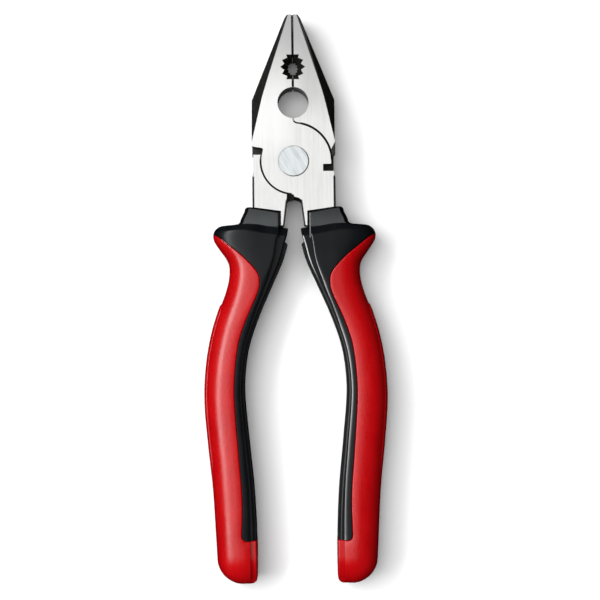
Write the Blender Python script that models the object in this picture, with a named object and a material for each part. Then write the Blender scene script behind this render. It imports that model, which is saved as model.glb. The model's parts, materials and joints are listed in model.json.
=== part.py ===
"""Combination pliers: two steel levers in a lap joint on one rivet, with layered grips on the tangs.

Sizes are in millimetres and become metres when a mesh is made. The pliers lie flat with the jaws
towards +Y, and the rivet's axis runs along Z. Outlines are drawn about the rivet. The half drawn here has
the left jaw and the right handle; the other half is the same one turned half a turn about Y.
"""

import math

import bmesh
import bpy

MM = 0.001

# Overall sizes
JAW_LENGTH = 51.5  # rivet to the jaws' tips
HANDLE_LENGTH = 148.5  # rivet to the ends of the grips
HANDLE_HALF_SPREAD = 32.45  # half the width across the closed handles, at their widest
HEAD_THICKNESS = 11.0
GRIP_THICKNESS = 16.5
OPENING_ANGLE = 10.0  # degrees, from closed to the stop

# Clearances
FIT = 0.3  # between pieces that are fixed to each other
RIVET_FIT = 0.08  # round the rivet
LAP_GAP = 0.3  # between the two layers of the lap joint
JOINT_GAP = 0.5  # round the discs of the lap joint
JAW_GAP = 0.6  # between the closed jaws
STOP_GAP = 0.35  # left at the stop when the jaws are fully open

# Jaw
JAW_HALF_WIDTH = 14.6
JAW_WIDEST = 22.0  # where the side turns parallel
FACE_BEVEL = 3.65  # width of the black side bevel there
FACE_FULL = 6.7  # where the ground face reaches the side
TIP_HALF_WIDTH = 2.6
TIP_BEVEL = 0.7
TIP_CORNER = 0.8
TIP_THICKNESS = 8.6
JAW_END = 1.3  # lowest point of the jaw's lower layer
JAW_END_CHAMFER = 1.1
JAW_END_WALL = 0.95  # jaw left beside the other lever's disc

# Rivet
RIVET_HEAD_RADIUS = 5.3
RIVET_SHANK_RADIUS = 4.2
RIVET_HEAD_HEIGHT = 1.3

# Lap joint
EAR_INSET = 0.5  # from the jaw's side to the ear's side
EAR_WIDTH = 2.3
EAR_TOP = 2.3
NECK_ANGLE = 84.0  # where the neck below the hole runs into the disc, in degrees
CROTCH_ANGLE = 258.0  # where the disc leaves the other tang, in degrees
SHOULDER_DEPTH = 0.4  # how far the shoulder's corner reaches into the disc
SHOULDER_CORNER = 0.5
SIDE_NOTCH_DEPTH = 2.85
SIDE_NOTCH_FRONT = 1.1  # behind the rivet
SIDE_NOTCH_LENGTH = 2.5
CROTCH_STEP = 0.6  # from the joint to the crotch's edge on the face
CROTCH_CHAMFER = 0.65
CROTCH_SLOPE = 0.95  # how much further back its wall is at the middle plane
EAR_HALF_WIDTH = JAW_HALF_WIDTH - EAR_INSET
JAW_ARC = JAW_HALF_WIDTH - JAW_END_WALL
DISC_FRONT_RADIUS = JAW_ARC - JOINT_GAP
TANG_ARC = EAR_HALF_WIDTH - EAR_WIDTH
DISC_REAR_RADIUS = TANG_ARC - JOINT_GAP
SIDE_NOTCH_REAR = SIDE_NOTCH_FRONT + SIDE_NOTCH_LENGTH

# Round hole and pipe grip between the jaws
NECK_LENGTH = 1.3  # between the joint and the hole
HOLE_RADIUS = 5.5
HOLE_RIB_DEPTH = 0.12
HOLE_RIBS = 36  # fine ribs round the hole's wall
CUTTER_LENGTH = 2.68  # between the hole and the pipe grip
PIPE_TEETH = [(4.36, 0.0), (2.92, 1.1), (3.7, 2.43), (1.9, 3.24), (2.25, 4.36)]  # notches and teeth in turn
HOLE_CENTRE = JAW_ARC + NECK_LENGTH + HOLE_RADIUS
PIPE_CENTRE = HOLE_CENTRE + HOLE_RADIUS + CUTTER_LENGTH + PIPE_TEETH[-1][1]

# Tang: the steel between joint and collar, then the thinner bar inside the grip
ROOT_FLARE = 0.1  # how far the root stands out past the jaw's side
ROOT_BEVEL = 0.5
ROOT_BEVEL_RUN = 1.7  # behind the side notch
ROOT_LENGTH = 4.05  # from the crotch's corner to the collar
CROTCH_RUN = 1.8  # from the joint to the crotch's corner
TANG_HALF_GAP = 2.5  # between the two tangs, at the crotch
TANG_TAPER = 1.1  # how much further apart they are at the guard
STRIP_WIDTH = 1.0  # steel seen beside the collar
TANG_THICKNESS = 5.0
TANG_WIDTH = 7.5
TANG_ROOT_INSET = 0.3  # from the root's side to the bar inside the collar
TANG_NARROWING = 31.0  # length over which the tang takes its final width
TANG_SHORT = 22.5  # from the tang's end to the handle's end
ROOT_HALF_WIDTH = JAW_HALF_WIDTH + ROOT_FLARE
ROOT_FACE_HALF_WIDTH = ROOT_HALF_WIDTH - ROOT_BEVEL
ROOT_BEVEL_START = SIDE_NOTCH_REAR + ROOT_BEVEL_RUN
TANG_CORNER = TANG_ARC + CROTCH_RUN
TANG_HALF_GAP_REAR = TANG_HALF_GAP + TANG_TAPER
TANG_INNER = TANG_HALF_GAP_REAR + STRIP_WIDTH / 2
TANG_ROOT_WIDTH = ROOT_FACE_HALF_WIDTH - TANG_ROOT_INSET - TANG_INNER
TANG_START = TANG_ARC + 2 * FIT
TANG_END = HANDLE_LENGTH - TANG_SHORT

# Collar
COLLAR_LENGTH = 5.1
COLLAR_SLANT = 1.75  # how much further forward its outer corner is
COLLAR_SIDE_WALL = 2.7
COLLAR_LIP = 1.0  # how far it stands over the steel's face
COLLAR_CORNER = 1.3
COLLAR_FLARE = 3.6  # how far its side has spread at the guard
COLLAR_INNER = TANG_HALF_GAP_REAR + STRIP_WIDTH + FIT
COLLAR_OUTER = ROOT_HALF_WIDTH + COLLAR_SIDE_WALL
COLLAR_FRONT = TANG_CORNER + ROOT_LENGTH  # behind the rivet, at its inner edge
COLLAR_THICKNESS = HEAD_THICKNESS + 2 * COLLAR_LIP

# Grip
GUARD_RADIUS = 3.75
GUARD_STEP = 1.5  # how much lower the guard's front edge is than its face
GUARD_STEP_RUN = 1.9
LEDGE_STEP = 2.2  # from the grip's face down to the ledge on its inner side
ROLL = 11.0  # width of the rounded outer side
FACE_LAND = 0.6  # least flat width of the grip's face
END_OUTER_RADIUS = 8.5
END_INNER_RADIUS = 1.6
END_FACE_RADIUS = 5.0
END_CAP = 14.8  # length of the all-red end
SEAM_CORNER = 1.8
CORE_SETBACK = 2.5  # from the guard's tip to the rib's front end
CORE_BEVEL = 1.4
CORE_WALL = 1.2
RIB_TO_TANG = 2.2
GUARD_FRONT = COLLAR_FRONT + COLLAR_LENGTH
GUARD_TIP = GUARD_FRONT + GUARD_RADIUS
GRIP_LENGTH = HANDLE_LENGTH - GUARD_TIP
SEAM_END = HANDLE_LENGTH - END_CAP
CORE_FRONT = GUARD_TIP + CORE_SETBACK

# Lines along a handle: how far a station is from the guard's tip, as a share of the grip's length, and how
# far the line is from the middle plane there, as a share of the handles' half spread
WAIST = 0.096
RIB_LINE = [
    (-0.037, 0.022), (-0.018, 0.034), (0.017, 0.072), (0.069, 0.130), (0.138, 0.245), (0.225, 0.388),
    (0.311, 0.499), (0.381, 0.544), (0.455, 0.555), (0.589, 0.512), (0.728, 0.462), (0.867, 0.439),
    (1.0, 0.438),
]
OUTER_LINE = [
    (0.0, 0.886), (0.034, 0.810), (0.069, 0.727), (WAIST, 0.710), (0.138, 0.733), (0.208, 0.838),
    (0.277, 0.918), (0.365, 0.978), (0.467, 1.0), (0.589, 0.968), (0.728, 0.915), (0.865, 0.886),
    (1.0, 0.860),
]
SEAM_LINE = [
    (-0.019, 1.0), (0.001, 0.829), (0.017, 0.738), (0.051, 0.570), (0.086, 0.441), (0.104, 0.394),
    (0.123, 0.376), (0.156, 0.393), (0.242, 0.533), (0.311, 0.615), (0.415, 0.658), (0.485, 0.656),
    (0.624, 0.619), (0.75, 0.587), (0.88, 0.598),
]

# Rib and ledge on a handle's inner side: greatest width, at the guard, least width, and shares between them
RIB_FRONT_WIDTH = 1.45
RIB_REAR_WIDTH = 0.75
LEDGE_FRONT_WIDTH = 3.3
LEDGE_REAR_WIDTH = 0.9
NARROWING = [(-0.02, 1.0), (0.08, 0.5), (0.16, 0.2), (0.275, 0.0), (0.6, 0.0), (0.88, 0.2), (1.0, 0.2)]

# How far cutting shapes reach past the pieces
REACH = 10.0
HALF_REACH = 60.0

# Fineness of round shapes
RIVET_SIDES = 48
ARC_STEP = 6.0  # degrees
BEND_STEPS = 5
SECTION_STEPS = 6
GUARD_SLICES = 4
WAIST_SLICES = 5
HANDLE_SLICES = 19
END_SLICES = 6
SEAM_STEPS = 28
CORE_STEPS = 22
END_RIB_STEPS = 4
SMOOTH_ANGLE = 30.0  # degrees


def arc(radius, start, end, centre=(0.0, 0.0)):
    """Points on a circle from one angle to another, in degrees."""
    count = max(2, math.ceil(abs(end - start) / ARC_STEP))
    points = []
    for index in range(count + 1):
        angle = math.radians(start + (end - start) * index / count)
        points.append((centre[0] + radius * math.cos(angle), centre[1] + radius * math.sin(angle)))
    return points


def bend(start, corner, end):
    """Points on a curve that leaves start towards corner and reaches end from corner."""
    points = []
    for index in range(BEND_STEPS + 1):
        t = index / BEND_STEPS
        weights = ((1 - t) ** 2, 2 * t * (1 - t), t ** 2)
        points.append(tuple(
            weights[0] * start[axis] + weights[1] * corner[axis] + weights[2] * end[axis] for axis in (0, 1)
        ))
    return points


def mirrored(points):
    return [(-x, y) for x, y in points]


def spread(start, end, count):
    """Evenly spaced values, both ends included."""
    return [start + (end - start) * index / count for index in range(count + 1)]


def smooth_line(shares, low, high):
    """A function of the distance behind the rivet, smooth through stations between a low and a high value."""
    stations = [(GUARD_TIP + place * GRIP_LENGTH, low + (high - low) * share) for place, share in shares]
    last = len(stations) - 1
    slopes = []
    for index in range(last + 1):
        before = stations[max(index - 1, 0)]
        after = stations[min(index + 1, last)]
        slopes.append((after[1] - before[1]) / (after[0] - before[0]))

    def value(distance):
        index = 0
        while index < last - 1 and distance > stations[index + 1][0]:
            index += 1
        (d0, v0), (d1, v1) = stations[index], stations[index + 1]
        span = d1 - d0
        t = min(max((distance - d0) / span, 0.0), 1.0)
        rise = 3 * t ** 2 - 2 * t ** 3
        lead = (t ** 3 - 2 * t ** 2 + t) * span * slopes[index]
        trail = (t ** 3 - t ** 2) * span * slopes[index + 1]
        return v0 + (v1 - v0) * rise + lead + trail

    return value


rib_line = smooth_line(RIB_LINE, 0.0, HANDLE_HALF_SPREAD)
outer_line = smooth_line(OUTER_LINE, 0.0, HANDLE_HALF_SPREAD)
seam_line = smooth_line(SEAM_LINE, 0.0, HANDLE_HALF_SPREAD)
rib_width = smooth_line(NARROWING, RIB_REAR_WIDTH, RIB_FRONT_WIDTH)
ledge_width = smooth_line(NARROWING, LEDGE_REAR_WIDTH, LEDGE_FRONT_WIDTH)


def shifted(points, distance):
    """An open line moved sideways, to the left of its direction."""
    result = []
    last = len(points) - 1
    for index, (x, y) in enumerate(points):
        before = points[max(index - 1, 0)]
        after = points[min(index + 1, last)]
        run = (after[0] - before[0], after[1] - before[1])
        length = math.hypot(*run)
        result.append((x - run[1] / length * distance, y + run[0] / length * distance))
    return result


def new_object(name, mesh_data, material=None):
    mesh = bpy.data.meshes.new(name)
    bmesh.ops.recalc_face_normals(mesh_data, faces=mesh_data.faces)
    bmesh.ops.scale(mesh_data, vec=(MM, MM, MM), verts=mesh_data.verts)
    mesh_data.to_mesh(mesh)
    mesh_data.free()
    if material:
        mesh.materials.append(material)
    result = bpy.data.objects.new(name, mesh)
    bpy.context.collection.objects.link(result)
    return result


def loft(name, loops, material=None):
    """A closed body through loops of points that have the same count, with a flat cap on both ends."""
    body = bmesh.new()
    rings = [[body.verts.new(point) for point in loop] for loop in loops]
    for lower, upper in zip(rings, rings[1:]):
        for index in range(len(lower)):
            following = (index + 1) % len(lower)
            body.faces.new((lower[index], lower[following], upper[following], upper[index]))
    body.faces.new(rings[0])
    body.faces.new(rings[-1])
    return new_object(name, body, material)


def prism(name, outline, low, high, material=None):
    return loft(name, [[(x, y, z) for x, y in outline] for z in (low, high)], material)


def turned(name, profile, material=None):
    """A body turned about the rivet's axis from a profile of (radius, height)."""
    angles = [2 * math.pi * index / RIVET_SIDES for index in range(RIVET_SIDES)]
    loops = [[(radius * math.cos(a), radius * math.sin(a), z) for a in angles] for radius, z in profile]
    return loft(name, loops, material)


def carve(target, steps):
    """Apply Boolean steps of (operation, tool) in order, and remove the tools."""
    for operation, tool in steps:
        tool.hide_render = True
        tool.display_type = 'WIRE'
        modifier = target.modifiers.new(tool.name, 'BOOLEAN')
        modifier.operation = operation
        modifier.solver = 'EXACT'
        modifier.object = tool
    graph = bpy.context.evaluated_depsgraph_get()
    finished = bpy.data.meshes.new_from_object(target.evaluated_get(graph))
    target.modifiers.clear()
    target.data = finished
    for _, tool in steps:
        bpy.data.objects.remove(tool)


def finish(name, colour, roughness, metallic):
    material = bpy.data.materials.new(name)
    material.use_nodes = True
    shader = material.node_tree.nodes["Principled BSDF"]
    shader.inputs["Base Color"].default_value = (*colour, 1.0)
    shader.inputs["Roughness"].default_value = roughness
    shader.inputs["Metallic"].default_value = metallic
    return material


# Steel lever
def neck(radius, half_gap):
    """The line from the round hole down to the disc, on the disc's right-hand side."""
    top = (half_gap, HOLE_CENTRE)
    angle = math.radians(NECK_ANGLE)
    foot = (radius * math.cos(angle), radius * math.sin(angle))
    level = (half_gap, foot[1] + (foot[0] - half_gap) / math.tan(angle))
    lead = (half_gap, HOLE_CENTRE - HOLE_RADIUS)
    return [top] + bend(lead, level, foot)


def collar_front(x):
    """Height of the collar's slanting front edge at x."""
    return -COLLAR_FRONT + COLLAR_SLANT * (x - COLLAR_INNER) / (COLLAR_OUTER - COLLAR_INNER)


def tip_corner(half_width, side_half_width):
    """The rounded corner between a jaw's tip and its side."""
    tip = (-half_width, JAW_LENGTH)
    run = (half_width - side_half_width, JAW_WIDEST - JAW_LENGTH)
    share = TIP_CORNER / math.hypot(*run)
    on_side = (tip[0] + run[0] * share, tip[1] + run[1] * share)
    return bend((tip[0] + TIP_CORNER, tip[1]), tip, on_side)


def lever_outlines():
    """The lever's outline at the middle plane, and on its ground faces, with matching points."""
    half_gap = JAW_GAP / 2
    jaw_end_x = math.sqrt(JAW_ARC ** 2 - JAW_END ** 2)
    ear_angle = math.degrees(math.asin(EAR_TOP / DISC_FRONT_RADIUS))
    jaw_end_angle = 180.0 - math.degrees(math.asin(JAW_END / DISC_REAR_RADIUS))
    disc_rear = arc(DISC_REAR_RADIUS, jaw_end_angle, CROTCH_ANGLE)
    disc_front = arc(DISC_FRONT_RADIUS, ear_angle, NECK_ANGLE)
    strip_x = COLLAR_INNER - FIT
    face_half_width = JAW_HALF_WIDTH - FACE_BEVEL
    pairs = [((-half_gap, JAW_LENGTH), None)]
    middle_corner = tip_corner(TIP_HALF_WIDTH, JAW_HALF_WIDTH)
    pairs += zip(middle_corner, tip_corner(TIP_HALF_WIDTH - TIP_BEVEL, face_half_width))
    pairs += [
        ((-JAW_HALF_WIDTH, JAW_WIDEST), (-face_half_width, JAW_WIDEST)),
        ((-JAW_HALF_WIDTH, FACE_FULL), None),
        ((-JAW_HALF_WIDTH, JAW_END + JAW_END_CHAMFER), None),
        ((-jaw_end_x, JAW_END), None),
    ]
    pairs += [(point, None) for point in disc_rear]
    strip_end = -GUARD_FRONT + FIT
    taper = TANG_TAPER / (-strip_end - TANG_CORNER)
    crotch = [
        (0.0, -TANG_ARC - CROTCH_STEP),
        (TANG_HALF_GAP - CROTCH_CHAMFER, -TANG_CORNER + CROTCH_CHAMFER),
        (TANG_HALF_GAP, -TANG_CORNER),
    ]
    pairs += [((0.0, -TANG_ARC), None)]
    pairs += [((x, y - CROTCH_SLOPE), (x, y)) for x, y in crotch]
    pairs += [
        ((TANG_HALF_GAP_REAR - taper * CROTCH_SLOPE, strip_end), (TANG_HALF_GAP_REAR, strip_end)),
        ((strip_x, strip_end), None),
        ((strip_x, collar_front(strip_x) + FIT), None),
    ]
    rear_y = collar_front(ROOT_HALF_WIDTH) + FIT
    face_rear_y = collar_front(ROOT_FACE_HALF_WIDTH) + FIT
    pairs += [
        ((ROOT_HALF_WIDTH, rear_y), (ROOT_FACE_HALF_WIDTH, face_rear_y)),
        ((ROOT_HALF_WIDTH, -ROOT_BEVEL_START), (ROOT_FACE_HALF_WIDTH, -ROOT_BEVEL_START)),
        ((EAR_HALF_WIDTH, -SIDE_NOTCH_REAR), None),
        ((EAR_HALF_WIDTH, EAR_TOP), None),
    ]
    pairs += [(point, None) for point in disc_front[:-1]]
    pairs += [(point, None) for point in reversed(neck(DISC_FRONT_RADIUS, -half_gap))]
    middle = [point for point, _ in pairs]
    face = [on_face or point for point, on_face in pairs]
    return middle, face


def lower_layer_cut():
    """Room in the lower layer for the other lever's disc, neck and shoulder."""
    jaw_end_angle = 180.0 - math.degrees(math.asin(JAW_END / JAW_ARC))
    crotch_angle = -math.degrees(math.acos(TANG_HALF_GAP / TANG_ARC))
    ear_angle = math.degrees(math.asin(EAR_TOP / TANG_ARC))
    outline = mirrored(neck(JAW_ARC, JAW_GAP / 2))
    outline += arc(JAW_ARC, 180.0 - NECK_ANGLE, jaw_end_angle)[1:]
    crotch = (TANG_HALF_GAP + LAP_GAP / 2, -TANG_CORNER - CROTCH_SLOPE - LAP_GAP)
    outline += [(-HALF_REACH, -JAW_END), (-HALF_REACH, crotch[1]), crotch]
    outline += arc(TANG_ARC, crotch_angle, ear_angle)
    outline += [(HALF_REACH, EAR_TOP), (HALF_REACH, HOLE_CENTRE)]
    return prism("lower_layer_cut", outline, -HEAD_THICKNESS, LAP_GAP / 2)


def shoulder_height(x):
    """Height of the jaw's shoulder, where the other lever's ear stops when the jaws are fully open."""
    turn = math.radians(OPENING_ANGLE)
    return (EAR_TOP + STOP_GAP) / math.cos(turn) - x * math.tan(turn)


def upper_layer_cuts():
    """Room in the upper layer: under the jaw's shoulder on the left, beside the disc on the right."""
    ear_angle = 180.0 - math.degrees(math.asin(EAR_TOP / DISC_REAR_RADIUS))
    jaw_end_angle = 180.0 + math.degrees(math.asin(JAW_END / DISC_REAR_RADIUS))
    corner_x = SHOULDER_DEPTH - DISC_REAR_RADIUS
    corner_y = shoulder_height(corner_x)
    left = [
        (-HALF_REACH, shoulder_height(-HALF_REACH)),
        (corner_x, corner_y),
        (corner_x + SHOULDER_CORNER / 2, corner_y - SHOULDER_CORNER),
    ]
    left += arc(DISC_REAR_RADIUS, ear_angle, jaw_end_angle)
    left += [(-HALF_REACH, -JAW_END)]
    notch_angle = math.degrees(math.asin(SIDE_NOTCH_FRONT / DISC_FRONT_RADIUS))
    clear_of_ear = 2 * math.degrees(math.asin(EAR_TOP / DISC_FRONT_RADIUS))
    notch_x = DISC_FRONT_RADIUS - SIDE_NOTCH_DEPTH
    right = arc(DISC_FRONT_RADIUS, clear_of_ear, -notch_angle)
    right += [
        (notch_x, -SIDE_NOTCH_FRONT),
        (notch_x, -SIDE_NOTCH_REAR),
        (HALF_REACH, -SIDE_NOTCH_REAR),
        (HALF_REACH, right[0][1]),
    ]
    return [
        prism("shoulder_cut", left, -LAP_GAP / 2, HEAD_THICKNESS),
        prism("side_notch_cut", right, -LAP_GAP / 2, HEAD_THICKNESS),
    ]


def pipe_grip_cut():
    """The toothed half opening of one jaw, the same above and below its middle notch."""
    upper = [(-x, PIPE_CENTRE + y) for x, y in reversed(PIPE_TEETH)]
    lower = [(-x, PIPE_CENTRE - y) for x, y in PIPE_TEETH[1:]]
    outline = [(JAW_GAP, upper[0][1])] + upper + lower + [(JAW_GAP, lower[-1][1])]
    return prism("pipe_grip_cut", outline, -HEAD_THICKNESS, HEAD_THICKNESS)


def round_hole_cut():
    """The round hole between the jaws, with fine ribs along its wall."""
    outline = []
    for index in range(2 * HOLE_RIBS):
        angle = math.pi * index / HOLE_RIBS
        radius = HOLE_RADIUS - HOLE_RIB_DEPTH * (index % 2)
        outline.append((radius * math.cos(angle), HOLE_CENTRE + radius * math.sin(angle)))
    return prism("round_hole_cut", outline, -HEAD_THICKNESS, HEAD_THICKNESS)


def jaw_taper_cut(name, side):
    """The wedge that thins the jaw from its widest point to the tip, on one face."""
    thick = side * HEAD_THICKNESS / 2
    thin = side * TIP_THICKNESS / 2
    beyond = JAW_LENGTH + REACH
    slope = (thin - thick) / (JAW_LENGTH - JAW_WIDEST)
    loops = []
    for x in (-HALF_REACH, HALF_REACH):
        loops.append([
            (x, JAW_WIDEST, thick),
            (x, beyond, thick + slope * (beyond - JAW_WIDEST)),
            (x, beyond, side * HEAD_THICKNESS),
            (x, JAW_WIDEST, side * HEAD_THICKNESS),
        ])
    return loft(name, loops)


def rivet_profile(clearance):
    head = RIVET_HEAD_RADIUS + clearance
    shank = RIVET_SHANK_RADIUS + clearance
    top = HEAD_THICKNESS / 2
    under_head = top - RIVET_HEAD_HEIGHT
    return [(head, -top), (shank, -under_head), (shank, under_head), (head, top)]


def bore_cut():
    profile = rivet_profile(RIVET_FIT)
    wide = profile[0][0]
    profile = [(wide, -HEAD_THICKNESS)] + profile + [(wide, HEAD_THICKNESS)]
    return turned("bore_cut", profile)


def tang_inner(distance):
    return max(TANG_INNER, rib_line(distance) + RIB_TO_TANG)


def tang_outer(distance):
    share = min(max((distance - CORE_FRONT) / TANG_NARROWING, 0.0), 1.0)
    return tang_inner(distance) + TANG_ROOT_WIDTH + (TANG_WIDTH - TANG_ROOT_WIDTH) * share


def tang(name, clearance):
    """The bar inside the grip, or the room for it."""
    distances = spread(TANG_START, TANG_END + clearance, CORE_STEPS)
    outline = [(tang_inner(d) - clearance, -d) for d in distances]
    outline += [(tang_outer(d) + clearance, -d) for d in reversed(distances)]
    half = TANG_THICKNESS / 2 + clearance
    return prism(name, outline, -half, half)


def make_lever(name, material):
    middle, face = lever_outlines()
    half = HEAD_THICKNESS / 2
    loops = [[(x, y, z) for x, y in outline] for outline, z in ((face, -half), (middle, 0.0), (face, half))]
    lever = loft(name, loops, material)
    cuts = [lower_layer_cut(), *upper_layer_cuts(), pipe_grip_cut(), round_hole_cut()]
    cuts += [jaw_taper_cut("upper_taper_cut", 1), jaw_taper_cut("lower_taper_cut", -1), bore_cut()]
    steps = [('DIFFERENCE', cut) for cut in cuts]
    carve(lever, steps + [('UNION', tang("tang", 0.0))])
    return lever


# Grip
def end_drop(distance, radius):
    """How far a rounding at the handle's end has drawn a line in."""
    over = min(max(distance - (HANDLE_LENGTH - radius), 0.0), radius)
    return radius - math.sqrt(radius ** 2 - over ** 2)


def guard_drop(distance):
    """How far the rounding of the guard's tip has drawn the outer line in."""
    over = min(max(GUARD_TIP - distance, 0.0), GUARD_RADIUS)
    return GUARD_RADIUS - math.sqrt(GUARD_RADIUS ** 2 - over ** 2)


def grip_section(distance):
    """The grip's section, from the ledge on the inner side round the outer side and back."""
    ledge = rib_line(distance) + rib_width(distance) + end_drop(distance, END_INNER_RADIUS)
    face = ledge + ledge_width(distance)
    outer = outer_line(max(distance, GUARD_TIP))
    outer -= guard_drop(distance) + end_drop(distance, END_OUTER_RADIUS)
    step_share = min(max((distance - GUARD_FRONT) / GUARD_STEP_RUN, 0.0), 1.0)
    height = GRIP_THICKNESS / 2 - GUARD_STEP * (1.0 - step_share) - end_drop(distance, END_FACE_RADIUS)
    ledge_height = height - LEDGE_STEP
    flat_end = max(face + FACE_LAND, outer - ROLL)
    upper = [(ledge, ledge_height), (face, ledge_height), (face, height)]
    for index in range(SECTION_STEPS):
        angle = math.pi / 2 * index / SECTION_STEPS
        upper.append((flat_end + (outer - flat_end) * math.sin(angle), height * math.cos(angle)))
    lower = [(x, -z) for x, z in reversed(upper)]
    return upper + [(outer, 0.0)] + lower


def grip_body(name, material):
    waist = GUARD_TIP + WAIST * GRIP_LENGTH
    end_start = HANDLE_LENGTH - END_OUTER_RADIUS
    distances = spread(GUARD_FRONT, GUARD_TIP, GUARD_SLICES)[:-1]
    distances += spread(GUARD_TIP, waist, WAIST_SLICES)[:-1]
    distances += spread(waist, end_start, HANDLE_SLICES)[:-1]
    for angle in spread(0.0, math.pi / 2, END_SLICES):
        distances.append(end_start + END_OUTER_RADIUS * math.sin(angle))
    return loft(name, [[(x, -d, z) for x, z in grip_section(d)] for d in distances], material)


def seam_path():
    """The line between black and red in plan, from the guard's tip to the inner side near the end."""
    start = GUARD_TIP + SEAM_LINE[0][0] * GRIP_LENGTH
    corner_start = SEAM_END - SEAM_CORNER
    path = [(seam_line(d), -d) for d in spread(start, corner_start, SEAM_STEPS)]
    corner_x = path[-1][0] - SEAM_CORNER
    path += arc(SEAM_CORNER, 0.0, -90.0, (corner_x, -corner_start))[1:]
    return path + [(-REACH, -SEAM_END)]


def core_outer(distance):
    return tang_outer(distance) + FIT + CORE_WALL


def core_outline(clearance):
    """The hard core's outline in plan; its inner edge is the rib on the handle's inner side."""
    end = SEAM_END - FIT + clearance
    front = CORE_FRONT - CORE_BEVEL - clearance
    distances = spread(CORE_FRONT, end, CORE_STEPS)
    inner = [(rib_line(CORE_FRONT) + CORE_BEVEL - clearance, -front)]
    inner += [(rib_line(d) - clearance, -d) for d in distances]
    outer = [(core_outer(d) + clearance, -d) for d in reversed(distances)]
    outer += [(core_outer(front) + clearance, -front)]
    return inner + outer


def core_body(name, clearance, material=None):
    half = TANG_THICKNESS / 2 + FIT + CORE_WALL + clearance
    return prism(name, core_outline(clearance), -half, half, material)


def make_core(name, material):
    core = core_body(name, 0.0, material)
    carve(core, [('DIFFERENCE', tang("tang_room", FIT))])
    return core


def collar_block():
    """The raised collar in front of the guard, wrapped round the tang from the outer side."""
    corner_y = collar_front(COLLAR_OUTER - COLLAR_CORNER)
    flare_x = COLLAR_OUTER + COLLAR_FLARE
    side_start = (COLLAR_OUTER, corner_y - COLLAR_CORNER)
    side_end = (COLLAR_OUTER + COLLAR_FLARE / 2, -GUARD_FRONT + COLLAR_FLARE / 2)
    outline = [(COLLAR_INNER, -GUARD_TIP), (COLLAR_INNER, -COLLAR_FRONT)]
    outline += bend((COLLAR_OUTER - COLLAR_CORNER, corner_y), (COLLAR_OUTER, corner_y), side_start)
    outline += bend(side_end, (COLLAR_OUTER + COLLAR_FLARE * 2 / 3, -GUARD_FRONT), (flare_x, -GUARD_FRONT))
    outline += [(flare_x, -GUARD_TIP)]
    half = COLLAR_THICKNESS / 2
    return prism("collar_block", outline, -half, half)


def make_guard(name, material):
    guard = grip_body(name, material)
    seam = shifted(seam_path(), -FIT / 2)
    region = seam + [(-REACH, REACH), (seam[0][0], REACH)]
    black_side = prism("black_side", region, -GRIP_THICKNESS, GRIP_THICKNESS)
    carve(guard, [
        ('INTERSECT', black_side),
        ('UNION', collar_block()),
        ('DIFFERENCE', core_body("core_room", FIT)),
        ('DIFFERENCE', tang("tang_room", FIT)),
    ])
    return guard


def end_rib():
    """The rib on the inner side, carried on by the red end."""
    distances = spread(SEAM_END + FIT, HANDLE_LENGTH - END_FACE_RADIUS / 2, END_RIB_STEPS)
    outline = [(rib_line(d), -d) for d in distances]
    outline += [(rib_line(d) + rib_width(d) + FACE_LAND, -d) for d in reversed(distances)]
    half = TANG_THICKNESS / 2 + FIT + CORE_WALL
    return prism("end_rib", outline, -half, half)


def make_red_grip(name, material):
    red = grip_body(name, material)
    seam = shifted(seam_path(), FIT / 2)
    beyond = -HANDLE_LENGTH - REACH
    region = seam + [(-REACH, beyond), (HALF_REACH, beyond), (HALF_REACH, REACH), (seam[0][0], REACH)]
    red_side = prism("red_side", region, -GRIP_THICKNESS, GRIP_THICKNESS)
    carve(red, [
        ('INTERSECT', red_side),
        ('UNION', end_rib()),
        ('DIFFERENCE', core_body("core_room", FIT)),
    ])
    return red


# Assembly
def half_carrier(name, turn):
    """An empty on the rivet's axis that carries one half."""
    carrier = bpy.data.objects.new(name, None)
    carrier.location = (0.0, (HANDLE_LENGTH - JAW_LENGTH) / 2 * MM, GRIP_THICKNESS / 2 * MM)
    carrier.rotation_euler = (0.0, turn, 0.0)
    bpy.context.collection.objects.link(carrier)
    return carrier


def soften(piece):
    piece.data.shade_smooth()
    piece.data.set_sharp_from_angle(angle=math.radians(SMOOTH_ANGLE))


for old in list(bpy.data.objects):
    bpy.data.objects.remove(old)

steel = finish("ground_steel", (0.78, 0.78, 0.76), 0.35, 1.0)
rivet_steel = finish("rivet_steel", (0.72, 0.75, 0.77), 0.3, 1.0)
core_black = finish("hard_black_plastic", (0.015, 0.016, 0.018), 0.4, 0.0)
guard_black = finish("soft_black_plastic", (0.022, 0.025, 0.028), 0.5, 0.0)
grip_red = finish("soft_red_rubber", (0.55, 0.012, 0.016), 0.4, 0.0)

first_half = half_carrier("first_half", 0.0)
second_half = half_carrier("second_half", math.pi)

pieces = [
    (make_lever("left_jaw_lever", steel), "right_jaw_lever"),
    (make_core("right_handle_core", core_black), "left_handle_core"),
    (make_guard("right_black_guard", guard_black), "left_black_guard"),
    (make_red_grip("right_red_grip", grip_red), "left_red_grip"),
]
for piece, twin_name in pieces:
    soften(piece)
    piece.parent = first_half
    twin = bpy.data.objects.new(twin_name, piece.data)
    twin.parent = second_half
    bpy.context.collection.objects.link(twin)

rivet = turned("pivot_rivet", rivet_profile(0.0), rivet_steel)
soften(rivet)
rivet.parent = first_half
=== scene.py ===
# %% [markdown]
# # Dressing a pair of combination pliers
#
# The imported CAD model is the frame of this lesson. It says where every piece is and how the two levers turn
# on their rivet. This script gives the pliers their finished surfaces: ground and blackened steel, a brushed
# rivet, and grips that are moulded in three layers. Each step says what the thing is on the real tool, how it
# could be made, and why it is made the way it is here.

# %% Load the frame
import json
import math

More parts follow.
